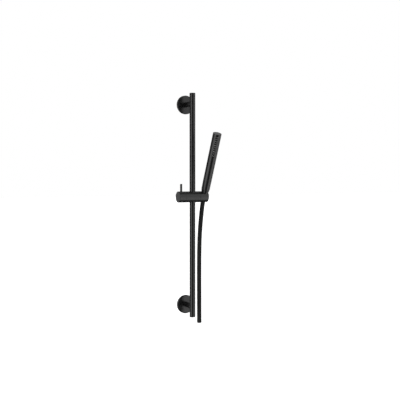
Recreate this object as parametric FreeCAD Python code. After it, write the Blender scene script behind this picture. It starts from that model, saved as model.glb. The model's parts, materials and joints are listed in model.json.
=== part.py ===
import FreeCAD, Part
import os
from math import cos, pi, radians, sin, tan

# Shower slide rail with a hand shower and hose, in millimetres.
# +X is right, +Y runs into the wall, +Z is up. The wall is the plane Y = 0, and the origin lies on it
# halfway between the two wall screws. At rest the slider stands a little above the middle of the rail.

# Rail and its two wall brackets
BRACKET_SPACING = 700.0
RAIL_OVERHANG = 36.5
RAIL_D = 20.0
RAIL_WALL = 1.5
RAIL_STANDOFF = 58.0
CAP_T = 2.0
CAP_PLUG_LENGTH = 8.0
ROSETTE_D = 65.0
ROSETTE_T = 8.0
ROSETTE_EDGE = 2.4
POST_D = 18.0
FLANGE_D = 40.0
FLANGE_T = 4.0
BOSS_D = 12.0
BOSS_LENGTH = 20.0
WALL_SCREW_HOLE_D = 5.5
SCREW_HEAD_D = 10.0
STUD_D = 6.0
STUD_GRIP = 10.0
INSERT_LENGTH = 24.0
POST_GRUB_D = 5.0
POST_GRUB_FROM_FLANGE = 10.0
GRUB_GROOVE_DEPTH = 1.2

# Slider, its clamp and the swivelling holder
SLIDER_Z = 30.0
SLIDER_D = 38.0
BODY_LEFT = 33.0
BODY_RIGHT = 22.6
KNOB_LENGTH = 22.0
HOLDER_LENGTH = 31.65
GLIDE_D = 24.0
GLIDE_LENGTH = 5.5
GLIDE_INSET = 5.0
SHOE_D = 12.8
SHOE_TRAVEL = 0.5
JOURNAL_D = 8.0
JOURNAL_WALL = 11.0
SPINDLE_IN_KNOB = 14.6
SPINDLE_NECK_D = 6.4
SPINDLE_THREAD_D = 5.8
SPINDLE_THREAD_LENGTH = 6.2
CLIP_D = 11.6
CLIP_T = 1.0
CLIP_MOUTH_DEG = 70.0
CLIP_LAND_D = 7.2
CLIP_LAND_LENGTH = 0.7
PIN_D = 7.4
PIN_FROM_KNOB_END = 12.1
PIN_REACH = 25.5
PIN_FLAT_DEPTH = 0.8
PIVOT_D = 14.0
PIVOT_LENGTH = 9.15
PIVOT_GROOVE_DEPTH = 1.2
PIVOT_GROOVE_FROM_FACE = 3.55
HOLDER_GRUB_D = 4.0
O_RING_SECTION_D = 2.0
O_RING_FROM_TIP = 2.2

# Cradle in the holder and the cone nut that sits in it, measured along the hand shower's axis
TILT_DEG = 24.5
CRADLE_FROM_BODY = 22.0
NUT_TOP = 19.6
NUT_BOTTOM = -14.0
NUT_TOP_D = 23.6
NUT_BOTTOM_D = 21.4
NUT_SHOULDER = 4.0
NUT_SKIRT_LIP = 3.0
CRADLE_SLOT_W = 16.0

# Hand shower, measured along its axis from the slider's axis
COLLAR_BOTTOM = 20.0
COLLAR_BOTTOM_D = 25.6
COLLAR_TAPER_TOP = 31.0
COLLAR_TAPER_ROUND = 12.0
COLLAR_D = 29.0
HANDSET_BOTTOM = 52.0
HANDSET_TOP = 235.4
HANDSET_TURN_DEG = -22.0
HANDSET_D = 29.4
HANDSET_WALL = 2.4
NECK_LENGTH = 12.0
THREAD_D = 20.8
WATERWAY_D = 10.0
LIMITER_D = 12.0
LIMITER_T = 3.0
LIMITER_HOLES = 6
LIMITER_HOLE_D = 1.8
LIMITER_PITCH_D = 7.0
FEED_PIPE_D = 13.0
TOP_CAP_T = 1.2
TOP_CAP_PLUG = 3.0
STRIP_FROM_TOP = 2.4
STRIP_LENGTH = 81.0
STRIP_W = 8.6
STRIP_RECESS = 1.2
MAT_T = 1.4
MAT_END_GAP = 3.0
NOZZLE_ROWS = 10
NOZZLE_PITCH = 7.4
NOZZLE_ANGLES_DEG = (-11.6, 0.0, 11.6)
NOZZLE_D = 2.0
NOZZLE_TIP_D = 1.6
NOZZLE_HEIGHT = 1.1
NOZZLE_BORE_D = 0.7
MANIFOLD_FOOT = 4.0
CHANNEL_W = 7.0
CHANNEL_DEPTH = 7.0
CHANNEL_END_WALL = 4.0

# Hose and its fittings
HOSE_D = 15.6
HOSE_BORE_D = 10.4
WASHER_T = 2.0
WASHER_BORE_D = 11.0
TAIL_FLANGE_T = 2.0
TAIL_BORE_D = 7.0
TAIL_REACH = 14.0
FERRULE_WALL = 0.9
END_FERRULE_LENGTH = 12.0
END_FERRULE_WALL = 0.2
# Hose route after the cone nut, as (back from the rail's axis, up from the slider's axis)
HOSE_ROUTE = (
    (10.8, -23.7),
    (18.1, -54.5),
    (25.6, -89.9),
    (31.6, -129.5),
    (35.3, -173.4),
    (36.9, -258.4),
    (36.4, -350.4),
    (35.8, -446.4),
)
ARC_SHARE = 0.45

# Clearances, and how near faces may lie in a fuse
FIT = 0.05
RUN = 0.15
THREAD_FIT = 0.1
SEAM = 0.25
HOLDER_SEAM = 0.6
FUSE_TOLERANCE = 0.0001

# Edge rounding
EDGE = 0.8
FINE_EDGE = 0.3

# Sizes that follow from the ones above
RAIL_LENGTH = BRACKET_SPACING + 2 * RAIL_OVERHANG
RAIL_R = RAIL_D / 2
SLIDER_R = SLIDER_D / 2
GLIDE_TOP = SLIDER_R - GLIDE_INSET
HANDSET_R = HANDSET_D / 2
HOSE_R = HOSE_D / 2
RAIL_BORE_R = RAIL_R - RAIL_WALL
BRACKETS = {"upper": BRACKET_SPACING / 2, "lower": -BRACKET_SPACING / 2}
KNOB_FACE = -BODY_LEFT - SEAM
KNOB_END = KNOB_FACE - KNOB_LENGTH
HOLDER_FACE = BODY_RIGHT + HOLDER_SEAM
HOLDER_END = HOLDER_FACE + HOLDER_LENGTH
CRADLE_X = BODY_RIGHT + CRADLE_FROM_BODY
JOURNAL_FACE = -BODY_LEFT + JOURNAL_WALL
CLIP_BACK = JOURNAL_FACE + RUN
CLIP_FRONT = CLIP_BACK + CLIP_T
THREAD_START = CLIP_FRONT + CLIP_LAND_LENGTH
THREAD_END = THREAD_START + SPINDLE_THREAD_LENGTH
SHOE_BACK = THREAD_START + SHOE_TRAVEL + RUN
STRIP_TOP = HANDSET_TOP - STRIP_FROM_TOP
STRIP_BOTTOM = STRIP_TOP - STRIP_LENGTH
HANDSET_BORE_R = HANDSET_R - HANDSET_WALL
CAP_SEAT = HANDSET_TOP - TOP_CAP_T
PLUG_END = CAP_SEAT - TOP_CAP_PLUG
MANIFOLD_BOTTOM = STRIP_BOTTOM - MANIFOLD_FOOT
WASHER_TOP = NUT_SHOULDER + TAIL_FLANGE_T + WASHER_T
HOSE_START = NUT_SHOULDER


def vec(x, y, z):
    return FreeCAD.Vector(x, y, z)


X_AXIS = vec(1, 0, 0)
Y_AXIS = vec(0, 1, 0)
Z_AXIS = vec(0, 0, 1)
ORIGIN = vec(0, 0, 0)
RAIL_AXIS_AT_SLIDER = vec(0, -RAIL_STANDOFF, SLIDER_Z)


def outline(profile):
    """Closed wire through (radius, height) points; a third number is the radius that rounds that corner."""
    points = [vec(corner[0], 0, corner[1]) for corner in profile]
    corners = []
    for k, corner in enumerate(profile):
        point = points[k]
        if len(corner) == 2:
            corners.append((point,))
            continue
        before = (points[k - 1] - point).normalize()
        after = (points[(k + 1) % len(points)] - point).normalize()
        half_angle = before.getAngle(after) / 2
        reach = corner[2] / tan(half_angle)
        inward = (before + after).normalize() * (corner[2] / sin(half_angle) - corner[2])
        corners.append((point + before * reach, point + inward, point + after * reach))
    edges = []
    for corner, following in zip(corners, corners[1:] + corners[:1]):
        if len(corner) > 1:
            edges.append(Part.Arc(*corner).toShape())
        edges.append(Part.LineSegment(corner[-1], following[0]).toShape())
    return Part.Wire(edges)


def turned(profile, base, axis):
    """Solid of revolution of an outline of (radius, height) points, stood on base along axis."""
    solid = Part.Face(outline(profile)).revolve(ORIGIN, Z_AXIS, 360)
    solid.Placement = FreeCAD.Placement(base, FreeCAD.Rotation(Z_AXIS, axis))
    return solid


def rod(radius, start, end):
    """Plain cylinder between two points."""
    run = end - start
    return Part.makeCylinder(radius, run.Length, start, run)


def across(x, y=0.0, z=0.0):
    """Point in the slider's own axes: x along its axis, y back and z up from the rail's axis."""
    return RAIL_AXIS_AT_SLIDER + vec(x, y, z)


def slider_turned(profile):
    """Piece turned about the slider's axis, from (radius, x) points."""
    return turned(profile, RAIL_AXIS_AT_SLIDER, X_AXIS)


def in_hand(solid):
    """Solid modelled about Z, facing -Y, moved onto the tilted axis of the hand shower and turned with it."""
    moved = solid.copy()
    tilt = FreeCAD.Rotation(X_AXIS, TILT_DEG)
    turn = FreeCAD.Rotation(Z_AXIS, HANDSET_TURN_DEG)
    moved.Placement = FreeCAD.Placement(across(CRADLE_X), tilt * turn)
    return moved


def hand_turned(profile):
    """Piece turned about the hand shower's axis, from (radius, height) points."""
    return in_hand(turned(profile, ORIGIN, Z_AXIS))


def hex_socket(across_flats, base, axis, depth):
    """Hexagonal prism that is cut from a grub screw's outer end."""
    corner = across_flats / 2 / cos(pi / 6)
    points = [vec(corner * cos(k * pi / 3), corner * sin(k * pi / 3), 0) for k in range(6)]
    prism = Part.Face(Part.makePolygon(points + points[:1])).extrude(Z_AXIS * depth)
    prism.Placement = FreeCAD.Placement(base, FreeCAD.Rotation(Z_AXIS, axis))
    return prism


def grub_screw(diameter, tip, outer_end):
    """Headless screw from its tip to its socket end."""
    run = outer_end - tip
    radius = diameter / 2
    length = run.Length
    chamfer = diameter / 10
    body = turned(
        [(0, 0), (radius - chamfer, 0), (radius, chamfer), (radius, length), (0, length)], tip, run
    )
    socket_depth = min(diameter / 2, length / 2)
    return body.cut(hex_socket(diameter / 2, outer_end, -run, socket_depth))


def rail_tube():
    """Round tube with a hole at the back for each bracket's stud."""
    half = RAIL_LENGTH / 2 - CAP_T
    low = vec(0, -RAIL_STANDOFF, -half)
    high = vec(0, -RAIL_STANDOFF, half)
    tube = rod(RAIL_R, low, high).cut(rod(RAIL_BORE_R, low, high))
    for z in BRACKETS.values():
        hole = rod(STUD_D / 2 + RUN, vec(0, -RAIL_STANDOFF, z), vec(0, -RAIL_STANDOFF + RAIL_D, z))
        tube = tube.cut(hole)
    return tube


def rail_cap(side):
    """Flush end plug of the rail: a round-edged disc on a plug."""
    plug_r = RAIL_BORE_R - FIT
    profile = [
        (0, -CAP_PLUG_LENGTH),
        (plug_r, -CAP_PLUG_LENGTH, FINE_EDGE),
        (plug_r, 0),
        (RAIL_R, 0),
        (RAIL_R, CAP_T, EDGE),
        (0, CAP_T),
    ]
    return turned(profile, vec(0, -RAIL_STANDOFF, side * (RAIL_LENGTH / 2 - CAP_T)), Z_AXIS * side)


def rail_insert(z):
    """Plug inside the rail that takes the bracket's stud."""
    half = vec(0, 0, INSERT_LENGTH / 2)
    centre = vec(0, -RAIL_STANDOFF, z)
    plug = rod(RAIL_BORE_R - FIT, centre - half, centre + half)
    seat = vec(0, -RAIL_STANDOFF - STUD_D / 2, z)
    return plug.cut(rod(STUD_D / 2 + FIT, seat, seat + Y_AXIS * RAIL_D))


def stud_ends(z):
    """The two ends of a bracket's stud: in the rail's plug and in the post."""
    rail_end = vec(0, -RAIL_STANDOFF - STUD_D / 2, z)
    post_end = vec(0, -RAIL_STANDOFF + RAIL_R + STUD_GRIP, z)
    return rail_end, post_end


def bracket_stud(z):
    """Threaded rod that draws the rail against the post."""
    return rod(STUD_D / 2, *stud_ends(z))


def wall_boss(z):
    """Turned flange and boss, held to the wall by one countersunk screw."""
    tip = FLANGE_T + BOSS_LENGTH
    boss_r = BOSS_D / 2
    hole_r = WALL_SCREW_HOLE_D / 2
    head_r = SCREW_HEAD_D / 2
    groove = FLANGE_T + POST_GRUB_FROM_FLANGE
    groove_half = POST_GRUB_D / 2 + FIT
    groove_r = boss_r - GRUB_GROOVE_DEPTH
    profile = [
        (hole_r, 0),
        (FLANGE_D / 2, 0),
        (FLANGE_D / 2, FLANGE_T),
        (boss_r, FLANGE_T),
        (boss_r, groove - groove_half),
        (groove_r, groove - groove_half),
        (groove_r, groove + groove_half),
        (boss_r, groove + groove_half),
        (boss_r, tip),
        (head_r, tip),
        (hole_r, tip - (head_r - hole_r)),
    ]
    return turned(profile, vec(0, 0, z), -Y_AXIS)


def rosette(z):
    """Cover disc, hollowed at the back for the wall flange and bored for the post."""
    bore_r = POST_D / 2 + FIT
    pocket_r = FLANGE_D / 2 + SEAM
    edge_r = ROSETTE_D / 2
    profile = [
        (pocket_r, 0),
        (edge_r, 0),
        (edge_r, ROSETTE_T, ROSETTE_EDGE),
        (bore_r, ROSETTE_T, FINE_EDGE),
        (bore_r, FLANGE_T),
        (pocket_r, FLANGE_T),
    ]
    return turned(profile, vec(0, 0, z), -Y_AXIS)


def post(z):
    """Round post from the wall flange to the rail, with a saddle end that fits the rail."""
    wall_end = vec(0, -FLANGE_T, z)
    rail_axis = vec(0, -RAIL_STANDOFF, z)
    body = rod(POST_D / 2, wall_end, rail_axis)
    reach = vec(0, 0, POST_D)
    body = body.cut(rod(RAIL_R + FIT, rail_axis - reach, rail_axis + reach))
    boss_bore = rod(BOSS_D / 2 + FIT, wall_end, wall_end - Y_AXIS * (BOSS_LENGTH + SEAM))
    rail_end, post_end = stud_ends(z)
    stud_bore = rod(STUD_D / 2 + FIT, rail_end, post_end)
    grub_axis = vec(0, -FLANGE_T - POST_GRUB_FROM_FLANGE, z)
    grub_bore = rod(POST_GRUB_D / 2 + FIT, grub_axis, grub_axis - Z_AXIS * POST_D)
    return body.cut(Part.makeCompound([boss_bore, stud_bore, grub_bore]))


def post_grub(z):
    """Grub screw under the post that grips the groove of the wall boss."""
    axis_point = vec(0, -FLANGE_T - POST_GRUB_FROM_FLANGE, z)
    tip = axis_point - Z_AXIS * (BOSS_D / 2 - GRUB_GROOVE_DEPTH)
    outer = axis_point - Z_AXIS * (POST_D / 2 - FINE_EDGE)
    return grub_screw(POST_GRUB_D, tip, outer)


def edged_bar(start, end, start_edge, end_edge):
    """Profile of a bar of the slider's diameter with a rounded edge at each end."""
    return [(0, start), (SLIDER_R, start, start_edge), (SLIDER_R, end, end_edge), (0, end)]


def slider_body():
    """Middle of the slider: bored upright for the rail and its glides, and along its axis for the rest."""
    body = slider_turned(edged_bar(-BODY_LEFT, BODY_RIGHT, FINE_EDGE, FINE_EDGE))
    top = Z_AXIS * SLIDER_D
    rail_bore = rod(RAIL_R + 3 * RUN, across(0) - top, across(0) + top)
    glide_seat = Z_AXIS * (GLIDE_TOP - GLIDE_LENGTH)
    upper_seat = rod(GLIDE_D / 2 + RUN, across(0) + glide_seat, across(0) + top)
    lower_seat = rod(GLIDE_D / 2 + RUN, across(0) - glide_seat, across(0) - top)
    shoe_bore = rod(SHOE_D / 2 + RUN, across(JOURNAL_FACE), across(0))
    journal = rod(JOURNAL_D / 2 + RUN, across(-BODY_LEFT), across(JOURNAL_FACE))
    pivot_bore = rod(PIVOT_D / 2 + RUN, across(HOLDER_FACE - PIVOT_LENGTH - RUN), across(HOLDER_FACE))
    grub_x = HOLDER_FACE - PIVOT_GROOVE_FROM_FACE
    grub_bore = rod(HOLDER_GRUB_D / 2 + FIT, across(grub_x), across(grub_x, 0, -SLIDER_D))
    for bore in (rail_bore, upper_seat, lower_seat, shoe_bore, journal, pivot_bore, grub_bore):
        body = body.cut(bore)
    return body


def glide_ring(side):
    """Plastic ring that guides the slider on the rail."""
    inner_r = RAIL_R + RUN
    outer_r = GLIDE_D / 2
    profile = [
        (inner_r, 0),
        (outer_r, 0),
        (outer_r, GLIDE_LENGTH, FINE_EDGE),
        (inner_r, GLIDE_LENGTH, FINE_EDGE),
    ]
    return turned(profile, across(0, 0, side * (GLIDE_TOP - GLIDE_LENGTH)), Z_AXIS * side)


def clamp_knob():
    """Turning end of the slider, bored for the spindle and for the lever pin."""
    knob = slider_turned(edged_bar(KNOB_END, KNOB_FACE, EDGE, FINE_EDGE))
    spindle_bore = rod(JOURNAL_D / 2 + FIT, across(KNOB_FACE - SPINDLE_IN_KNOB), across(KNOB_FACE))
    pin_x = KNOB_END + PIN_FROM_KNOB_END
    pin_bore = rod(PIN_D / 2 + FIT, across(pin_x), across(pin_x, 0, SLIDER_D))
    return knob.cut(spindle_bore).cut(pin_bore)


def clamp_spindle():
    """Spindle fixed in the knob; its threaded tip draws the brake shoe on and off the rail."""
    thread_r = SPINDLE_THREAD_D / 2
    neck_r = SPINDLE_NECK_D / 2
    spindle = slider_turned(
        [
            (0, KNOB_FACE - SPINDLE_IN_KNOB),
            (JOURNAL_D / 2, KNOB_FACE - SPINDLE_IN_KNOB),
            (JOURNAL_D / 2, CLIP_BACK),
            (neck_r, CLIP_BACK),
            (neck_r, CLIP_FRONT),
            (CLIP_LAND_D / 2, CLIP_FRONT),
            (CLIP_LAND_D / 2, THREAD_START),
            (thread_r, THREAD_START),
            (thread_r, THREAD_END, FINE_EDGE),
            (0, THREAD_END),
        ]
    )
    pin_x = KNOB_END + PIN_FROM_KNOB_END
    flat_z = JOURNAL_D / 2 - PIN_FLAT_DEPTH
    flat = Part.makeBox(PIN_D, JOURNAL_D, JOURNAL_D, across(pin_x - PIN_D / 2, -JOURNAL_D / 2, flat_z))
    return spindle.cut(flat)


def spindle_clip():
    """Open retaining clip in the spindle's groove."""
    inner_r = SPINDLE_NECK_D / 2 + FIT
    ring = slider_turned(
        [(inner_r, CLIP_BACK), (CLIP_D / 2, CLIP_BACK), (CLIP_D / 2, CLIP_FRONT), (inner_r, CLIP_FRONT)]
    )
    reach = CLIP_D
    spread = reach * tan(radians(CLIP_MOUTH_DEG / 2))
    corners = [across(CLIP_BACK), across(CLIP_BACK, -spread, -reach), across(CLIP_BACK, spread, -reach)]
    mouth = Part.Face(Part.makePolygon(corners + corners[:1])).extrude(X_AXIS * CLIP_T)
    return ring.cut(mouth)


def lever_pin():
    """Thin lever that stands on the knob and locks it to the spindle's flat."""
    radius = PIN_D / 2
    foot = JOURNAL_D / 2 - PIN_FLAT_DEPTH
    length = SLIDER_R + PIN_REACH - foot
    profile = [(0, 0), (radius, 0), (radius, length, EDGE), (0, length)]
    return turned(profile, across(KNOB_END + PIN_FROM_KNOB_END, 0, foot), Z_AXIS)


def brake_shoe():
    """Brake shoe with a hollow face for the rail and a threaded hole for the spindle."""
    body = rod(SHOE_D / 2, across(SHOE_BACK), across(0))
    height = Z_AXIS * SLIDER_D
    body = body.cut(rod(RAIL_R + RUN, across(0) - height, across(0) + height))
    hole_r = SPINDLE_THREAD_D / 2 + THREAD_FIT
    return body.cut(rod(hole_r, across(SHOE_BACK), across(THREAD_END + SHOE_TRAVEL + SEAM)))


def holder_grub():
    """Grub screw under the slider whose tip runs in the groove of the holder's pivot."""
    x = HOLDER_FACE - PIVOT_GROOVE_FROM_FACE
    tip = PIVOT_D / 2 - PIVOT_GROOVE_DEPTH + SEAM
    return grub_screw(HOLDER_GRUB_D, across(x, 0, -tip), across(x, 0, EDGE - SLIDER_R))


def cradle_cutter():
    """Cone of the nut with its clearance, and the slot that lets the hose in at the end."""
    slope = (NUT_TOP_D - NUT_BOTTOM_D) / 2 / (NUT_TOP - NUT_BOTTOM)
    reach = SLIDER_D
    top_r = NUT_TOP_D / 2 + FIT + slope * (reach - NUT_TOP)
    bottom_r = NUT_BOTTOM_D / 2 + FIT + slope * (-reach - NUT_BOTTOM)
    cone = Part.makeCone(bottom_r, top_r, 2 * reach, vec(0, 0, -reach))
    slot = Part.makeBox(HOLDER_LENGTH, CRADLE_SLOT_W, 2 * reach, vec(0, -CRADLE_SLOT_W / 2, -reach))
    cutter = cone.fuse(slot)
    cutter.Placement = FreeCAD.Placement(across(CRADLE_X), FreeCAD.Rotation(X_AXIS, TILT_DEG))
    return cutter


def holder():
    """Swivelling end of the slider: a pivot with two grooves, and an open conical cradle."""
    tip = HOLDER_FACE - PIVOT_LENGTH
    pivot_r = PIVOT_D / 2
    groove_r = pivot_r - PIVOT_GROOVE_DEPTH
    groove = HOLDER_FACE - PIVOT_GROOVE_FROM_FACE
    groove_half = HOLDER_GRUB_D / 2 + RUN
    ring = tip + O_RING_FROM_TIP
    ring_half = O_RING_SECTION_D / 2 + FIT
    ring_r = pivot_r + RUN - O_RING_SECTION_D - FIT
    body = slider_turned(
        [
            (0, tip),
            (pivot_r, tip, FINE_EDGE),
            (pivot_r, ring - ring_half),
            (ring_r, ring - ring_half),
            (ring_r, ring + ring_half),
            (pivot_r, ring + ring_half),
            (pivot_r, groove - groove_half),
            (groove_r, groove - groove_half),
            (groove_r, groove + groove_half),
            (pivot_r, groove + groove_half),
            (pivot_r, HOLDER_FACE),
            (SLIDER_R, HOLDER_FACE, FINE_EDGE),
            (SLIDER_R, HOLDER_END, EDGE),
            (0, HOLDER_END),
        ]
    )
    return body.cut(cradle_cutter())


def pivot_o_ring():
    """Rubber ring that gives the holder its drag."""
    section_r = O_RING_SECTION_D / 2
    centre_r = PIVOT_D / 2 + RUN - FIT - section_r
    x = HOLDER_FACE - PIVOT_LENGTH + O_RING_FROM_TIP
    return Part.makeTorus(centre_r, section_r, across(x), X_AXIS)


def hose_nut():
    """Cone nut of the hose: threaded above its shoulder, with a skirt round the hose below."""
    thread_r = THREAD_D / 2 + THREAD_FIT
    skirt_r = HOSE_R + FERRULE_WALL + 2 * FIT + RUN
    lip_r = HOSE_R + SEAM + RUN
    lip_top = NUT_BOTTOM + NUT_SKIRT_LIP
    return hand_turned(
        [
            (lip_r, NUT_BOTTOM),
            (NUT_BOTTOM_D / 2, NUT_BOTTOM, EDGE),
            (NUT_TOP_D / 2, NUT_TOP, FINE_EDGE),
            (thread_r, NUT_TOP),
            (thread_r, NUT_SHOULDER),
            (skirt_r, NUT_SHOULDER),
            (skirt_r, lip_top),
            (lip_r, lip_top),
        ]
    )


def hose_washer():
    """Rubber washer between the hose tail and the hand shower's thread."""
    low = WASHER_TOP - WASHER_T
    outer_r = THREAD_D / 2 - FINE_EDGE
    inner_r = WASHER_BORE_D / 2
    return hand_turned([(inner_r, low), (outer_r, low), (outer_r, WASHER_TOP), (inner_r, WASHER_TOP)])


def hose_tail():
    """Flanged tail that the hose is crimped on."""
    flange_top = NUT_SHOULDER + TAIL_FLANGE_T
    tail_end = HOSE_START - TAIL_REACH
    bore_r = TAIL_BORE_D / 2
    tail_r = HOSE_BORE_D / 2 - RUN
    flange_r = THREAD_D / 2 - FINE_EDGE
    return hand_turned(
        [
            (bore_r, tail_end),
            (tail_r, tail_end, FINE_EDGE),
            (tail_r, NUT_SHOULDER),
            (flange_r, NUT_SHOULDER),
            (flange_r, flange_top),
            (bore_r, flange_top),
        ]
    )


def crimp_ferrule():
    """Thin sleeve that grips the hose on its tail."""
    low = HOSE_START - TAIL_REACH
    inner_r = HOSE_R + FIT
    outer_r = HOSE_R + FERRULE_WALL + FIT
    return hand_turned([(inner_r, low), (outer_r, low), (outer_r, HOSE_START), (inner_r, HOSE_START)])


def hose_points():
    """Corner points of the hose's route, from the tail's flange to the end ferrule."""
    start = in_hand(Part.Vertex(0, 0, HOSE_START)).Point
    points = [start] + [across(CRADLE_X, back, up) for back, up in HOSE_ROUTE]
    last = points[-1] - points[-2]
    points[-1] = points[-1] - last * (END_FERRULE_LENGTH / last.Length)
    return points


def hose_path(points):
    """Straight runs joined by tangent arcs, each as large as its two runs allow, and the arcs' radii."""
    edges = []
    radii = []
    start = points[0]
    for before, corner, after in zip(points, points[1:], points[2:]):
        arrive = (corner - before).normalize()
        leave = (after - corner).normalize()
        half_turn = arrive.getAngle(leave) / 2
        share = ARC_SHARE * min(before.distanceToPoint(corner), corner.distanceToPoint(after))
        radius = share / tan(half_turn)
        radii.append(radius)
        arc_start = corner - arrive * share
        arc_end = corner + leave * share
        inward = (leave - arrive).normalize()
        arc_middle = corner + inward * (radius / cos(half_turn) - radius)
        edges.append(Part.LineSegment(start, arc_start).toShape())
        edges.append(Part.Arc(arc_start, arc_middle, arc_end).toShape())
        start = arc_end
    edges.append(Part.LineSegment(start, points[-1]).toShape())
    return Part.Wire(edges), radii


def swept(path, radius, start, direction):
    """Round bar along the hose's path."""
    section = Part.Wire(Part.makeCircle(radius, start, direction))
    return path.makePipeShell([section], True, False)


def hose():
    """Smooth hose hanging from the cone nut."""
    points = hose_points()
    path, radii = hose_path(points)
    direction = points[1] - points[0]
    tube = swept(path, HOSE_R, points[0], direction).cut(
        swept(path, HOSE_BORE_D / 2, points[0], direction)
    )
    expected = pi * (HOSE_R**2 - (HOSE_BORE_D / 2) ** 2) * path.Length
    print("hose length", round(path.Length, 1), "radii", [round(r) for r in radii])
    print("hose volume against section times length", round(tube.Volume / expected, 5))
    return tube


def end_ferrule():
    """Plain end fitting of the hose: a tail inside the hose and an open sleeve below it."""
    points = hose_points()
    direction = points[-1] - points[-2]
    bore_r = TAIL_BORE_D / 2
    tail_r = HOSE_BORE_D / 2 - RUN
    outer_r = HOSE_R + END_FERRULE_WALL
    profile = [
        (bore_r, -TAIL_REACH),
        (tail_r, -TAIL_REACH),
        (tail_r, 0),
        (outer_r, 0),
        (outer_r, END_FERRULE_LENGTH, FINE_EDGE),
        (bore_r, END_FERRULE_LENGTH),
    ]
    return turned(profile, points[-1], direction)


def handset_collar():
    """Tapered lower end of the hand shower, with its thread below and a neck inside the tube above."""
    thread_r = THREAD_D / 2
    neck_top = HANDSET_BOTTOM + NECK_LENGTH
    neck_r = HANDSET_BORE_R - FIT
    bore_r = WATERWAY_D / 2
    pocket_r = LIMITER_D / 2
    pocket_top = WASHER_TOP + LIMITER_T
    return hand_turned(
        [
            (pocket_r, WASHER_TOP),
            (thread_r, WASHER_TOP, FINE_EDGE),
            (thread_r, COLLAR_BOTTOM),
            (COLLAR_BOTTOM_D / 2, COLLAR_BOTTOM, FINE_EDGE),
            (COLLAR_D / 2, COLLAR_TAPER_TOP, COLLAR_TAPER_ROUND),
            (COLLAR_D / 2, HANDSET_BOTTOM, FINE_EDGE),
            (neck_r, HANDSET_BOTTOM),
            (neck_r, neck_top),
            (bore_r, neck_top),
            (bore_r, pocket_top),
            (pocket_r, pocket_top),
        ]
    )


def flow_limiter():
    """Drilled disc in the hand shower's inlet."""
    low = WASHER_TOP
    disc = Part.makeCylinder(LIMITER_D / 2 - FIT, LIMITER_T, vec(0, 0, low))
    for k in range(LIMITER_HOLES):
        angle = 2 * pi * k / LIMITER_HOLES
        centre = vec(LIMITER_PITCH_D / 2 * cos(angle), LIMITER_PITCH_D / 2 * sin(angle), low)
        disc = disc.cut(Part.makeCylinder(LIMITER_HOLE_D / 2, LIMITER_T, centre))
    return in_hand(disc)


def strip_block(margin, end_gap=0.0):
    """Upright block in front of the axis with the spray strip's round-ended outline, less a margin and end gaps."""
    half = STRIP_W / 2 - margin
    low = STRIP_BOTTOM + end_gap + STRIP_W / 2
    high = STRIP_TOP - end_gap - STRIP_W / 2
    edges = [
        Part.LineSegment(vec(-half, 0, low), vec(-half, 0, high)),
        Part.Arc(vec(-half, 0, high), vec(0, 0, high + half), vec(half, 0, high)),
        Part.LineSegment(vec(half, 0, high), vec(half, 0, low)),
        Part.Arc(vec(half, 0, low), vec(0, 0, low - half), vec(-half, 0, low)),
    ]
    return Part.Face(Part.Wire([edge.toShape() for edge in edges])).extrude(-Y_AXIS * HANDSET_D)


def shell_part(inner_r, outer_r, block):
    """The part of a cylindrical shell that lies in a block."""
    low = vec(0, 0, STRIP_BOTTOM - STRIP_LENGTH)
    height = 3 * STRIP_LENGTH
    shell = Part.makeCylinder(outer_r, height, low).cut(Part.makeCylinder(inner_r, height, low))
    return shell.common(block)


def handset_tube():
    """Tube of the hand shower with the window for its spray strip."""
    inner_r = HANDSET_BORE_R
    profile = [
        (inner_r, HANDSET_BOTTOM),
        (HANDSET_R, HANDSET_BOTTOM, FINE_EDGE),
        (HANDSET_R, CAP_SEAT),
        (inner_r, CAP_SEAT),
    ]
    tube = turned(profile, ORIGIN, Z_AXIS)
    return in_hand(tube.cut(strip_block(0)))


def handset_cap():
    """Flat top of the hand shower on a short plug."""
    plug_r = HANDSET_BORE_R - FIT
    return hand_turned(
        [
            (0, PLUG_END),
            (plug_r, PLUG_END),
            (plug_r, CAP_SEAT),
            (HANDSET_R, CAP_SEAT),
            (HANDSET_R, HANDSET_TOP, EDGE),
            (0, HANDSET_TOP),
        ]
    )


def nozzle_axes():
    """Foot heights and outward directions of the nozzles, row by row up the strip."""
    middle = (STRIP_TOP + STRIP_BOTTOM) / 2
    for row in range(NOZZLE_ROWS):
        height = middle + (row - (NOZZLE_ROWS - 1) / 2) * NOZZLE_PITCH
        for angle in NOZZLE_ANGLES_DEG:
            yield height, vec(sin(radians(angle)), -cos(radians(angle)), 0)


def spray_plate():
    """Curved strip in the tube's window, drilled for the nozzles."""
    plate = shell_part(HANDSET_BORE_R, HANDSET_R - STRIP_RECESS, strip_block(FIT))
    holes = [
        Part.makeCylinder(NOZZLE_D / 2 + FIT, HANDSET_D, vec(0, 0, height), outward)
        for height, outward in nozzle_axes()
    ]
    return in_hand(plate.cut(Part.makeCompound(holes)))


def nozzle_mat():
    """Soft mat behind the spray plate with a bored nozzle through each of its holes."""
    mat_top_r = HANDSET_BORE_R - FIT
    mat = shell_part(mat_top_r - MAT_T, mat_top_r, strip_block(FIT, MAT_END_GAP))
    foot_r = mat_top_r - MAT_T / 2
    tip_r = HANDSET_R - STRIP_RECESS + NOZZLE_HEIGHT
    nozzles = [
        Part.makeCone(
            NOZZLE_D / 2, NOZZLE_TIP_D / 2, tip_r - foot_r, outward * foot_r + vec(0, 0, height), outward
        )
        for height, outward in nozzle_axes()
    ]
    bores = [
        Part.makeCylinder(NOZZLE_BORE_D / 2, HANDSET_D, outward * (foot_r - MAT_T) + vec(0, 0, height), outward)
        for height, outward in nozzle_axes()
    ]
    fused = mat.multiFuse(nozzles, FUSE_TOLERANCE).removeSplitter()
    return in_hand(fused.cut(Part.makeCompound(bores)))


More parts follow.
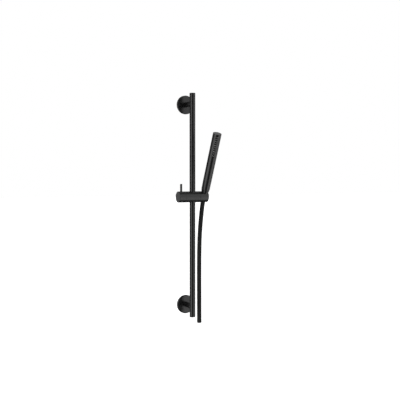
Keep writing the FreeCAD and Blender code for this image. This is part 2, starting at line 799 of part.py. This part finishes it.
def spray_manifold():
    """Plug behind the nozzle mat with the channel that feeds it."""
    outer_r = HANDSET_BORE_R - FIT
    floor_r = outer_r - MAT_T - FIT
    plug = Part.makeCylinder(outer_r, PLUG_END - MANIFOLD_BOTTOM, vec(0, 0, MANIFOLD_BOTTOM))
    mat_seat = shell_part(floor_r, outer_r + FIT, strip_block(0, MAT_END_GAP))
    channel_length = STRIP_LENGTH - 2 * CHANNEL_END_WALL
    channel = Part.makeBox(
        CHANNEL_W,
        CHANNEL_DEPTH,
        channel_length,
        vec(-CHANNEL_W / 2, -floor_r, STRIP_BOTTOM + CHANNEL_END_WALL),
    )
    inlet_length = MANIFOLD_FOOT + 2 * CHANNEL_END_WALL
    inlet = Part.makeCylinder(WATERWAY_D / 2, inlet_length, vec(0, 0, MANIFOLD_BOTTOM))
    return in_hand(plug.cut(mat_seat).cut(channel).cut(inlet))


def feed_pipe():
    """Water pipe from the collar's neck to the spray manifold."""
    low = HANDSET_BOTTOM + NECK_LENGTH
    outer_r = FEED_PIPE_D / 2
    inner_r = WATERWAY_D / 2
    return hand_turned(
        [(inner_r, low), (outer_r, low), (outer_r, MANIFOLD_BOTTOM), (inner_r, MANIFOLD_BOTTOM)]
    )


def all_nodes():
    """Every piece by its node's name."""
    nodes = {
        "rail_tube": rail_tube(),
        "rail_top_cap": rail_cap(1),
        "rail_bottom_cap": rail_cap(-1),
    }
    for name, z in BRACKETS.items():
        nodes[f"{name}_wall_boss"] = wall_boss(z)
        nodes[f"{name}_rosette"] = rosette(z)
        nodes[f"{name}_post"] = post(z)
        nodes[f"{name}_post_grub_screw"] = post_grub(z)
        nodes[f"{name}_stud"] = bracket_stud(z)
        nodes[f"{name}_rail_insert"] = rail_insert(z)
    nodes.update(
        slider_body=slider_body(),
        upper_glide_ring=glide_ring(1),
        lower_glide_ring=glide_ring(-1),
        holder_grub_screw=holder_grub(),
        clamp_knob=clamp_knob(),
        lever_pin=lever_pin(),
        clamp_spindle=clamp_spindle(),
        spindle_clip=spindle_clip(),
        brake_shoe=brake_shoe(),
        holder=holder(),
        pivot_o_ring=pivot_o_ring(),
        hose_cone_nut=hose_nut(),
        hose_washer=hose_washer(),
        hose_tail=hose_tail(),
        hose_crimp_ferrule=crimp_ferrule(),
        hose=hose(),
        hose_end_ferrule=end_ferrule(),
        handset_collar=handset_collar(),
        flow_limiter=flow_limiter(),
        feed_pipe=feed_pipe(),
        handset_tube=handset_tube(),
        handset_top_cap=handset_cap(),
        spray_plate=spray_plate(),
        nozzle_mat=nozzle_mat(),
        spray_manifold=spray_manifold(),
    )
    return nodes


def main():
    os.makedirs("parts", exist_ok=True)
    for name, shape in all_nodes().items():
        shape.exportStep(f"parts/{name}.step")


main()
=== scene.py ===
"""Finish, hose, washers and studio of a black shower slide rail with a stick hand shower."""

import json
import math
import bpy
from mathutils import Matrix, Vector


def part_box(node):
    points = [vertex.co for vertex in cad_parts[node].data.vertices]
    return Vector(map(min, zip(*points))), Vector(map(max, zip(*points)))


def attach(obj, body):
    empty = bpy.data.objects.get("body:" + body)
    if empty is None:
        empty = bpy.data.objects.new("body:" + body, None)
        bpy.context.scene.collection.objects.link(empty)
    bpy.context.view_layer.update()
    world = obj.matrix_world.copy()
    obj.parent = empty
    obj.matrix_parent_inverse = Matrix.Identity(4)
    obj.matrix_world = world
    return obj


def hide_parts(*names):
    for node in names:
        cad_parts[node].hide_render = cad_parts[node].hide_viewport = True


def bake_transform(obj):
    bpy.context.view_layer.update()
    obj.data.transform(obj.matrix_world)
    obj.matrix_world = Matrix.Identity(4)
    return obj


bl_info = {
    "name": "Slide Rail Looks",
    "version": (1, 0, 0),
    "blender": (4, 5, 0),
    "location": "View3D > Sidebar > Slide Rail",
    "description": "Dresses the slide rail's frame with its finishes, hose, washers and studio",
    "category": "Object",
}

import bpy
import numpy as np
from mathutils import Vector

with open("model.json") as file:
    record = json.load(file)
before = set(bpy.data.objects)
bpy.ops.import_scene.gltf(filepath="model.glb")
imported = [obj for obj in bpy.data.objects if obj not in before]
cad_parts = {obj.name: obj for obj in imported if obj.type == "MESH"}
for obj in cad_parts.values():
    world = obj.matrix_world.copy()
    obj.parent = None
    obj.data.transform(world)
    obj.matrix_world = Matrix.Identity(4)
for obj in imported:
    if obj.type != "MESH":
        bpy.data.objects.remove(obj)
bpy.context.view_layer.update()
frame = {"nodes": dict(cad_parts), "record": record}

# Places that the frame gives
RAIL_LOW, RAIL_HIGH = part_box("rail_tube")
RAIL_Y = (RAIL_LOW[1] + RAIL_HIGH[1]) / 2
SLIDER_LOW, SLIDER_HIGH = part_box("slider_body")
SLIDER_Z = (SLIDER_LOW[2] + SLIDER_HIGH[2]) / 2
SLIDER_R = (SLIDER_HIGH[2] - SLIDER_LOW[2]) / 2
HOSE_LOW, HOSE_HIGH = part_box("hose")
HOSE_X = (HOSE_LOW[0] + HOSE_HIGH[0]) / 2
HOSE_R = (HOSE_HIGH[0] - HOSE_LOW[0]) / 2
FERRULE_LOW, FERRULE_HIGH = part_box("hose_end_ferrule")
FERRULE_R = (FERRULE_HIGH[0] - FERRULE_LOW[0]) / 2

X_AXIS = np.array([1.0, 0.0, 0.0])
Y_AXIS = np.array([0.0, 1.0, 0.0])

# Edges of a mesh that turn by more than this stay sharp
SHARP_ANGLE = math.radians(40.0)

# Hose route in metres, as (back from the rail's axis, up from the slider's axis)
HOSE_ROUTE = (
    (-0.0017, 0.0036),
    (0.0108, -0.0237),
    (0.0181, -0.0545),
    (0.0256, -0.0899),
    (0.0316, -0.1295),
    (0.0353, -0.1734),
    (0.0369, -0.2584),
    (0.0364, -0.3504),
    (0.03588, -0.4344),
)
ROUTE_ORDER = 3
ROUTE_STEPS = 12

# Rounding of the end ferrule: its share of the radius, and how far its middle point is cut in
EDGE_SHARE = 0.06
ROUND_SHARE = 0.3

# Sprayed coat: features to the metre, tones at the two ends of its mottling, swing of its gloss
CLOUD_SCALE, CLOUD_DETAIL = 38.0, 3.0
GRAIN_SCALE = 1400.0
COAT_DARK, COAT_LIGHT = 0.85, 1.2
GLOSS_SWING = 0.05
PEEL_SCALE, PEEL_ROUGHNESS, PEEL_HEIGHT = 700.0, 0.6, 0.0002
COAT_PEEL, PLASTIC_PEEL, HOSE_PEEL = 0.06, 0.1, 0.05
COAT_SHEEN, FERRULE_SHEEN, HOSE_SHEEN = 0.5, 0.1, 0.05

# Moulded rubber: features to the metre, tones, lowest roughness and its swing, relief
RUBBER_SCALE = 2400.0
RUBBER_DARK, RUBBER_LIGHT = 0.9, 1.1
RUBBER_ROUGHNESS, RUBBER_SWING = 0.42, 0.1
RUBBER_RELIEF, RUBBER_HEIGHT = 0.1, 0.0001

# Bare metal: tooling marks to the metre, tone of the dull ones, swing of roughness, relief
TOOLING_SCALE, TOOLING_DETAIL = 3000.0, 1.0
TOOLING_SHADE = 0.82
TOOLING_SWING = 0.12
TOOLING_RELIEF, TOOLING_HEIGHT = 0.08, 0.0001

# Soft boxes as (from turn, to turn, from rise, to rise, strength), in degrees right of the front
# and above level
SOFT_BOXES = (
    (-92.0, -50.0, -14.0, 58.0, 1.9),
    (-116.0, -62.0, -58.0, -14.0, 1.9),
    (12.0, 76.0, -58.0, 50.0, 1.1),
    (14.0, 84.0, -52.0, -6.0, 0.4),
    (-166.0, -144.0, -30.0, 30.0, 0.55),
    (122.0, 162.0, 32.0, 58.0, 0.65),
    (-200.0, 200.0, 68.0, 110.0, 1.5),
    (92.0, 136.0, -40.0, 36.0, 0.65),
)
BOX_EDGE = 7.0
# White card behind the set that only reflections show, in the same angles
CARD = (138.0, 168.0, -17.0, 13.0)
CARD_EDGE = 3.0
ROOM = 0.07

# Floor: half its width in metres, its greys, their features to the metre, its glow to the camera
FLOOR_HALF = 30.0
FLOOR_DARK, FLOOR_LIGHT = 0.84, 0.88
FLOOR_SCALE = 1.5
FLOOR_GLOW = 0.8

SENSOR_WIDTH = 36.0


class Value:
    """A shader socket that can stand in sums and products; each operator adds one Math node."""

    def __init__(self, shader, socket):
        self.shader = shader
        self.socket = socket

    def math(self, operation, *operands):
        """Math node of this operation on these operands, in order."""
        inputs = dict(enumerate(operands))
        return self.shader.node("ShaderNodeMath", {"operation": operation}, inputs)

    def __add__(self, other):
        return self.math("ADD", self, other)

    __radd__ = __add__

    def __sub__(self, other):
        return self.math("SUBTRACT", self, other)

    def __rsub__(self, other):
        return self.math("SUBTRACT", other, self)

    def __mul__(self, other):
        return self.math("MULTIPLY", self, other)

    __rmul__ = __mul__

    def between(self, low, high):
        """Smooth step from 0 at low to 1 at high."""
        return self.shader.node(
            "ShaderNodeMapRange",
            {"interpolation_type": "SMOOTHSTEP"},
            {"Value": self, "From Min": low, "From Max": high},
        )


class Shader:
    """One node tree, filled through node()."""

    def __init__(self, tree):
        self.tree = tree
        tree.nodes.clear()

    def node(self, kind, settings=None, inputs=None, output=0):
        """Add a node: its settings first, then the values or links of its sockets."""
        node = self.tree.nodes.new(kind)
        for name, setting in (settings or {}).items():
            setattr(node, name, setting)
        for key, value in (inputs or {}).items():
            if isinstance(value, Value):
                self.tree.links.new(value.socket, node.inputs[key])
            else:
                node.inputs[key].default_value = value
        return Value(self, node.outputs[output]) if node.outputs else None

    def place(self):
        """Object coordinates of the shaded point, in metres."""
        return self.node("ShaderNodeTexCoord", output="Object")

    def noise(self, vector, scale, detail=2.0, roughness=0.5):
        """Noise from 0 to 1 with this many features to the metre."""
        return self.node(
            "ShaderNodeTexNoise",
            inputs={"Vector": vector, "Scale": scale, "Detail": detail, "Roughness": roughness},
        )

    def mix(self, factor, first, second):
        """Colour between two colours."""
        return self.node(
            "ShaderNodeMix",
            {"data_type": "RGBA"},
            {"Factor": factor, 6: first, 7: second},
            output=2,
        )

    def bump(self, height, strength, distance):
        """Normal of a small relief."""
        return self.node(
            "ShaderNodeBump", inputs={"Height": height, "Strength": strength, "Distance": distance}
        )


def new_material(name):
    """Empty node material and its shader."""
    material = bpy.data.materials.new(name)
    material.use_nodes = True
    return material, Shader(material.node_tree)


def principled(shader, **inputs):
    """Principled surface with these sockets, linked to the output."""
    sockets = {name.replace("_", " "): value for name, value in inputs.items()}
    surface = shader.node("ShaderNodeBsdfPrincipled", inputs=sockets)
    shader.node("ShaderNodeOutputMaterial", inputs={"Surface": surface})


def grey(level):
    """Neutral colour."""
    return (level, level, level, 1.0)


class FinishSettings(bpy.types.PropertyGroup):
    """Colours and gloss of the set."""

    coat_grey: bpy.props.FloatProperty(
        name="Coat grey", description="Brightness of the black coat", default=0.01, min=0.0, max=0.2
    )
    coat_roughness: bpy.props.FloatProperty(
        name="Coat roughness",
        description="Roughness of the satin coat",
        default=0.25,
        min=0.05,
        max=1.0,
    )
    plastic_grey: bpy.props.FloatProperty(
        name="Plastic grey",
        description="Brightness of the black plastic",
        default=0.015,
        min=0.0,
        max=0.2,
    )
    plastic_roughness: bpy.props.FloatProperty(
        name="Plastic roughness",
        description="Roughness of the black plastic",
        default=0.3,
        min=0.05,
        max=1.0,
    )
    rubber_grey: bpy.props.FloatProperty(
        name="Rubber grey", description="Brightness of the seals", default=0.03, min=0.0, max=0.2
    )
    nozzle_grey: bpy.props.FloatProperty(
        name="Nozzle grey",
        description="Brightness of the soft nozzles",
        default=0.5,
        min=0.0,
        max=1.0,
    )
    hose_grey: bpy.props.FloatProperty(
        name="Hose grey",
        description="Brightness of the hose's skin",
        default=0.03,
        min=0.0,
        max=0.2,
    )
    hose_roughness: bpy.props.FloatProperty(
        name="Hose roughness",
        description="Roughness of the hose's skin",
        default=0.7,
        min=0.05,
        max=1.0,
    )
    steel_colour: bpy.props.FloatVectorProperty(
        name="Steel colour",
        description="Colour of the screws and the spindle",
        default=(0.56, 0.56, 0.58, 1.0),
        size=4,
        subtype="COLOR",
    )
    steel_roughness: bpy.props.FloatProperty(
        name="Steel roughness",
        description="Roughness of the screws and the spindle",
        default=0.32,
        min=0.05,
        max=1.0,
    )
    brass_colour: bpy.props.FloatVectorProperty(
        name="Brass colour",
        description="Colour of the wall bosses and the inner fittings",
        default=(0.72, 0.55, 0.27, 1.0),
        size=4,
        subtype="COLOR",
    )
    brass_roughness: bpy.props.FloatProperty(
        name="Brass roughness",
        description="Roughness of the wall bosses and the inner fittings",
        default=0.34,
        min=0.05,
        max=1.0,
    )


class HoseSettings(bpy.types.PropertyGroup):
    """Mesh of the hose and its end ferrule."""

    sides: bpy.props.IntProperty(
        name="Sides", description="Points round the hose", default=48, min=12
    )
    bore: bpy.props.FloatProperty(
        name="Bore", description="Inner radius of the hose", default=0.0052, subtype="DISTANCE"
    )
    ferrule_bore: bpy.props.FloatProperty(
        name="Ferrule bore",
        description="Inner radius of the end ferrule",
        default=0.0035,
        subtype="DISTANCE",
    )
    ferrule_length: bpy.props.FloatProperty(
        name="Ferrule length",
        description="Length of the end ferrule",
        default=0.012,
        subtype="DISTANCE",
    )
    bend_length: bpy.props.FloatProperty(
        name="Bend length",
        description="Height over which the hose takes up the holder's tilt",
        default=0.17,
        subtype="DISTANCE",
    )


class WasherSettings(bpy.types.PropertyGroup):
    """Friction washers at the two ends of the slider."""

    holder_seam: bpy.props.FloatProperty(
        name="Holder seam",
        description="Gap between slider and holder",
        default=0.0006,
        subtype="DISTANCE",
    )
    knob_seam: bpy.props.FloatProperty(
        name="Knob seam",
        description="Gap between slider and knob",
        default=0.00025,
        subtype="DISTANCE",
    )
    play: bpy.props.FloatProperty(
        name="Play",
        description="Room on each face of a washer",
        default=0.00001,
        subtype="DISTANCE",
    )
    rim: bpy.props.FloatProperty(
        name="Rim",
        description="Depth of a washer's edge in its seam",
        default=0.0014,
        subtype="DISTANCE",
    )
    holder_bore: bpy.props.FloatProperty(
        name="Holder bore",
        description="Radius of the hole for the pivot",
        default=0.0073,
        subtype="DISTANCE",
    )
    knob_bore: bpy.props.FloatProperty(
        name="Knob bore",
        description="Radius of the hole for the spindle",
        default=0.0043,
        subtype="DISTANCE",
    )
    sides: bpy.props.IntProperty(
        name="Sides", description="Points round a washer", default=96, min=12
    )


class StudioSettings(bpy.types.PropertyGroup):
    """Camera and floor."""

    azimuth: bpy.props.FloatProperty(
        name="Azimuth",
        description="Camera's turn from the front",
        default=math.radians(-27.08),
        subtype="ANGLE",
    )
    elevation: bpy.props.FloatProperty(
        name="Elevation",
        description="Camera's height angle",
        default=math.radians(1.89),
        subtype="ANGLE",
    )
    distance: bpy.props.FloatProperty(
        name="Distance", description="Camera to target", default=2.6015, subtype="DISTANCE"
    )
    target: bpy.props.FloatVectorProperty(
        name="Target",
        description="Point at the picture's middle",
        default=(0.0333, -0.05, 0.0183),
        subtype="XYZ",
    )
    focal: bpy.props.FloatProperty(
        name="Focal length", description="In millimetres", default=67.32
    )
    floor_drop: bpy.props.FloatProperty(
        name="Floor drop", description="Floor below the hose's end", default=0.5, subtype="DISTANCE"
    )


def settings(group):
    """One of this add-on's property groups on the scene."""
    return getattr(bpy.context.scene, "slide_rail_" + group)


def black_coat(name, roughness, level, peel, sheen=COAT_SHEEN):
    """Satin black coat: faint mottling of tone and gloss, and the fine peel of a sprayed finish."""
    material, shader = new_material(name)
    place = shader.place()
    cloud = shader.noise(place, CLOUD_SCALE, detail=CLOUD_DETAIL)
    grain = shader.noise(place, GRAIN_SCALE)
    relief = shader.noise(place, PEEL_SCALE, roughness=PEEL_ROUGHNESS)
    principled(
        shader,
        Base_Color=shader.mix(cloud, grey(level * COAT_DARK), grey(level * COAT_LIGHT)),
        Roughness=roughness + GLOSS_SWING * (cloud - 0.5) + GLOSS_SWING * (grain - 0.5),
        Specular_IOR_Level=sheen,
        Normal=shader.bump(relief, peel, PEEL_HEIGHT),
    )
    return material


def moulded_rubber(name, level):
    """Dull moulded rubber, faintly grainy in tone and gloss."""
    material, shader = new_material(name)
    grain = shader.noise(shader.place(), RUBBER_SCALE)
    principled(
        shader,
        Base_Color=shader.mix(grain, grey(RUBBER_DARK * level), grey(RUBBER_LIGHT * level)),
        Roughness=RUBBER_ROUGHNESS + RUBBER_SWING * grain,
        Normal=shader.bump(grain, RUBBER_RELIEF, RUBBER_HEIGHT),
    )
    return material


def bare_metal(name, colour, roughness):
    """Turned bare metal with fine marks of tooling."""
    material, shader = new_material(name)
    marks = shader.noise(shader.place(), TOOLING_SCALE, detail=TOOLING_DETAIL)
    dull = tuple(TOOLING_SHADE * part for part in colour[:3]) + (1.0,)
    principled(
        shader,
        Base_Color=shader.mix(marks, dull, colour),
        Metallic=1.0,
        Roughness=roughness + TOOLING_SWING * (marks - 0.5),
        Normal=shader.bump(marks, TOOLING_RELIEF, TOOLING_HEIGHT),
    )
    return material


def finish_of(node):
    """Finish that a node of the frame wears."""
    return frame["nodes"][node].data.materials[0]


def new_piece(name, points, faces, material, body):
    """Mesh object from point and face arrays, smooth but for sharp edges, riding on a body if named."""
    mesh = bpy.data.meshes.new(name)
    mesh.from_pydata(points.reshape(-1, 3).tolist(), [], faces.tolist())
    mesh.update()
    mesh.shade_smooth()
    mesh.set_sharp_from_angle(angle=SHARP_ANGLE)
    mesh.materials.append(material)
    piece = bpy.data.objects.new(name, mesh)
    bpy.context.scene.collection.objects.link(piece)
    if body:
        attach(piece, body)
    return piece


def ring_faces(rows, sides):
    """Quads of a surface that closes both round its sides and from its last row to its first."""
    row = np.arange(rows)[:, None] * sides
    after_row = (np.arange(rows)[:, None] + 1) % rows * sides
    side = np.arange(sides)[None, :]
    after = (side + 1) % sides
    quads = np.stack([row + side, after_row + side, after_row + after, row + after], axis=-1)
    return quads.reshape(-1, 4)


def route_points(name):
    """Points of the route's NURBS spline, read from a curve with no bevel."""
    curve = bpy.data.curves.new(name, "CURVE")
    curve.dimensions = "3D"
    curve.resolution_u = ROUTE_STEPS
    spline = curve.splines.new("NURBS")
    spline.points.add(len(HOSE_ROUTE) - 1)
    for point, (back, up) in zip(spline.points, HOSE_ROUTE):
        point.co = (HOSE_X, RAIL_Y + back, SLIDER_Z + up, 1.0)
    spline.order_u = ROUTE_ORDER
    spline.use_endpoint_u = True
    carrier = bpy.data.objects.new(name, curve)
    line = bpy.data.meshes.new_from_object(carrier)
    points = np.empty(3 * len(line.vertices), dtype=np.float32)
    line.vertices.foreach_get("co", points)
    bpy.data.objects.remove(carrier)
    bpy.data.curves.remove(curve)
    bpy.data.meshes.remove(line)
    return points.reshape(-1, 3).astype(float)


def swept_rings(points, radius, sides):
    """Rings round a path in a plane of constant x: point + r (cos t n + sin t x), n across the path."""
    along = np.gradient(points, axis=0)
    along /= np.linalg.norm(along, axis=1, keepdims=True)
    normal = np.cross(along, X_AXIS)
    turn = np.linspace(0.0, 2.0 * np.pi, sides, endpoint=False)
    ring = np.cos(turn)[:, None] * normal[:, None, :] + np.sin(turn)[:, None] * X_AXIS
    return points[:, None, :] + radius * ring


def hollow_tube(points, outer, inner, sides):
    """Tube with a bore: the outer rings down the path, then the inner ones back up it."""
    outside = swept_rings(points, outer, sides)
    inside = swept_rings(points, inner, sides)
    return np.concatenate([outside, inside[::-1]])


def turned(profile, start, along, across, sides):
    """Closed profile of (radius, way) turned about the axis a = along, with c = across, n = a x c:
    start + way a + radius (cos t n + sin t c)."""
    turn = np.linspace(0.0, 2.0 * np.pi, sides, endpoint=False)
    normal = np.cross(along, across)
    ring = np.cos(turn)[:, None] * normal + np.sin(turn)[:, None] * across
    return start + profile[:, 1, None, None] * along + profile[:, 0, None, None] * ring


class SLIDERAIL_OT_finishes(bpy.types.Operator):
    """Give every piece of the frame its finish"""

    bl_idname = "sliderail.finishes"
    bl_label = "Finishes"

    def execute(self, context):
        finish = settings("finish")
        coat = (finish.coat_roughness, finish.coat_grey, COAT_PEEL)
        plastic = (finish.plastic_roughness, finish.plastic_grey, PLASTIC_PEEL)
        skin = (finish.hose_roughness, finish.hose_grey, HOSE_PEEL, HOSE_SHEEN)
        slots = {
            "black_finish": black_coat("black_finish", *coat),
            "black_plastic": black_coat("black_plastic", *plastic),
            "soft_rubber": moulded_rubber("soft_rubber", finish.rubber_grey),
            "nozzle_rubber": moulded_rubber("nozzle_rubber", finish.nozzle_grey),
            "steel": bare_metal("steel", finish.steel_colour, finish.steel_roughness),
            "bare_brass": bare_metal("bare_brass", finish.brass_colour, finish.brass_roughness),
            "hose_skin": black_coat("hose_skin", *skin),
        }
        for part in frame["record"]["subparts"]:
            node = frame["nodes"][part["node"]]
            node.data.materials.clear()
            node.data.materials.append(slots[part["material_slot"]])
        return {"FINISHED"}


class SLIDERAIL_OT_hose(bpy.types.Operator):
    """Hang the hose from the cone nut"""

    bl_idname = "sliderail.hose"
    bl_label = "Hose"

    def execute(self, context):
        hose = settings("hose")
        points = route_points("hose_route")
        surface = hollow_tube(points, HOSE_R, hose.bore, hose.sides)
        faces = ring_faces(len(surface), hose.sides)
        piece = new_piece("hose_skin", surface, faces, finish_of("hose"), None)
        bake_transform(piece)
        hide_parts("hose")
        ferrule = self.ferrule(points, hose)
        return {"FINISHED"}

    def ferrule(self, points, hose):
        """End sleeve: a closed profile of (radius, way down the axis) turned about the hose's end."""
        edge = EDGE_SHARE * FERRULE_R
        cut = ROUND_SHARE * edge
        length, bore = hose.ferrule_length, hose.ferrule_bore
        outside = [(FERRULE_R - edge / 2, 0.0), (FERRULE_R, edge / 2), (FERRULE_R, length - edge)]
        rim = [(FERRULE_R - cut, length - cut), (FERRULE_R - edge, length)]
        inside = [(bore + edge, length), (bore, length - edge), (bore, 0.0)]
        profile = np.array(outside + rim + inside)
        down = points[-1] - points[-2]
        down /= np.linalg.norm(down)
        surface = turned(profile, points[-1], down, X_AXIS, hose.sides)
        faces = ring_faces(len(profile), hose.sides)
        finish = settings("finish")
        dull = (finish.hose_roughness, finish.hose_grey, HOSE_PEEL, FERRULE_SHEEN)
        material = black_coat("dull_black_finish", *dull)
        piece = new_piece("hose_end_sleeve", surface, faces, material, "slider")
        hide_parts("hose_end_ferrule")
        return piece


class SLIDERAIL_OT_washers(bpy.types.Operator):
    """Set a friction washer into the seam at each end of the slider"""

    bl_idname = "sliderail.washers"
    bl_label = "Washers"

    def execute(self, context):
        washer = settings("washer")
        right, left = SLIDER_HIGH[0], SLIDER_LOW[0]
        self.washer("holder_washer", right, X_AXIS, washer.holder_seam, washer.holder_bore)
        self.washer("knob_washer", left, -X_AXIS, washer.knob_seam, washer.knob_bore)
        return {"FINISHED"}

    def washer(self, name, face, away, seam, bore):
        """Flat ring: a rectangle of (radius, way from the face) turned about the slider's axis."""
        washer = settings("washer")
        outer = SLIDER_R - washer.rim
        near, far = washer.play, seam - washer.play
        profile = np.array([(outer, near), (outer, far), (bore, far), (bore, near)])
        centre = np.array([face, RAIL_Y, SLIDER_Z])
        surface = turned(profile, centre, away, Y_AXIS, washer.sides)
        faces = ring_faces(len(profile), washer.sides)
        piece = new_piece(name, surface, faces, finish_of("upper_glide_ring"), "slider")


class SLIDERAIL_OT_stage(bpy.types.Operator):
    """Set up the floor, the studio light and the camera"""

    bl_idname = "sliderail.stage"
    bl_label = "Stage"

    def execute(self, context):
        self.floor()
        self.world()
        self.camera()
        context.scene.view_settings.view_transform = "Standard"
        return {"FINISHED"}

    def floor(self):
        """Wide pale floor below the hose, which reflections pass through."""
        material, shader = new_material("floor")
        camera = shader.node("ShaderNodeLightPath", output="Is Camera Ray")
        glossy = shader.node("ShaderNodeLightPath", output="Is Glossy Ray")
        cloud = shader.noise(shader.place(), FLOOR_SCALE)
        colour = shader.mix(cloud, grey(FLOOR_DARK), grey(FLOOR_LIGHT))
        surface = shader.node("ShaderNodeBsdfDiffuse", inputs={"Color": colour})
        glow = shader.node(
            "ShaderNodeEmission", inputs={"Color": grey(1.0), "Strength": FLOOR_GLOW * camera}
        )
        both = shader.node("ShaderNodeAddShader", inputs={0: surface, 1: glow})
        clear = shader.node("ShaderNodeBsdfTransparent")
        shown = shader.node("ShaderNodeMixShader", inputs={0: glossy, 1: both, 2: clear})
        shader.node("ShaderNodeOutputMaterial", inputs={"Surface": shown})
        height = HOSE_LOW[2] - settings("studio").floor_drop
        outline = np.array([(-1.0, -1.0), (1.0, -1.0), (1.0, 1.0), (-1.0, 1.0)])
        corners = np.insert(FLOOR_HALF * outline, 2, height, axis=1)
        floor = new_piece("floor", corners, np.array([[0, 1, 2, 3]]), material, None)

    def world(self):
        """White to the camera; light and reflections come from the soft boxes in a dim room."""
        world = bpy.data.worlds.new("studio")
        bpy.context.scene.world = world
        world.use_nodes = True
        shader = Shader(world.node_tree)
        way = shader.node("ShaderNodeTexCoord", output="Generated")
        x, y, z = (
            shader.node("ShaderNodeSeparateXYZ", inputs={0: way}, output=k) for k in range(3)
        )
        turn = x.math("ARCTAN2", x, 0.0 - y) * math.degrees(1.0)
        rise = z.math("ARCSINE", z) * math.degrees(1.0)

        def within(angle, low, high, soft):
            """1 between two angles, with soft ends."""
            started = angle.between(low - soft, low + soft)
            return started * (1.0 - angle.between(high - soft, high + soft))

        def panel(left, right, low, high, soft):
            """1 inside these angles, with a soft edge."""
            return within(turn, left, right, soft) * within(rise, low, high, soft)

        glow = ROOM
        for *angles, strength in SOFT_BOXES:
            glow = glow + strength * panel(*angles, BOX_EDGE)
        camera, through, glossy = (
            shader.node("ShaderNodeLightPath", output=f"Is {ray} Ray")
            for ray in ("Camera", "Transmission", "Glossy")
        )
        backdrop = camera.math("MAXIMUM", camera, through)
        seen = camera.math("MAXIMUM", backdrop, glossy * panel(*CARD, CARD_EDGE))
        studio = shader.node("ShaderNodeBackground", inputs={"Color": grey(1.0), "Strength": glow})
        white = shader.node("ShaderNodeBackground", inputs={"Color": grey(1.0), "Strength": 1.0})
        sky = shader.node("ShaderNodeMixShader", inputs={0: seen, 1: studio, 2: white})
        shader.node("ShaderNodeOutputWorld", inputs={"Surface": sky})

    def camera(self):
        """Camera at the photograph's angle, looking at the target from its distance."""
        studio = settings("studio")
        data = bpy.data.cameras.new("camera")
        data.sensor_width = SENSOR_WIDTH
        data.lens = studio.focal
        camera = bpy.data.objects.new("camera", data)
        bpy.context.scene.collection.objects.link(camera)
        a, e = studio.azimuth, studio.elevation
        back = Vector((math.sin(a) * math.cos(e), -math.cos(a) * math.cos(e), math.sin(e)))
        camera.location = Vector(studio.target) + studio.distance * back
        camera.rotation_euler = back.to_track_quat("Z", "Y").to_euler()
        bpy.context.scene.camera = camera


class SLIDERAIL_PT_panel(bpy.types.Panel):
    """Lists the slide rail's operators"""

    bl_idname = "SLIDERAIL_PT_panel"
    bl_label = "Slide Rail"
    bl_space_type = "VIEW_3D"
    bl_region_type = "UI"
    bl_category = "Slide Rail"

    def draw(self, context):
        for step in STEPS:
            self.layout.operator(step.bl_idname)


GROUPS = {
    "finish": FinishSettings,
    "hose": HoseSettings,
    "washer": WasherSettings,
    "studio": StudioSettings,
}
STEPS = (
    SLIDERAIL_OT_finishes,
    SLIDERAIL_OT_hose,
    SLIDERAIL_OT_washers,
    SLIDERAIL_OT_stage,
)
CLASSES = (*GROUPS.values(), *STEPS, SLIDERAIL_PT_panel)


def register():
    for cls in CLASSES:
        bpy.utils.register_class(cls)
    for name, group in GROUPS.items():
        setattr(bpy.types.Scene, "slide_rail_" + name, bpy.props.PointerProperty(type=group))


def unregister():
    for name in GROUPS:
        delattr(bpy.types.Scene, "slide_rail_" + name)
    for cls in reversed(CLASSES):
        bpy.utils.unregister_class(cls)


def main():
    register()
    bpy.ops.sliderail.finishes()
    bpy.ops.sliderail.hose()
    bpy.ops.sliderail.washers()
    bpy.ops.sliderail.stage()


if __name__ == "__main__":
    main()
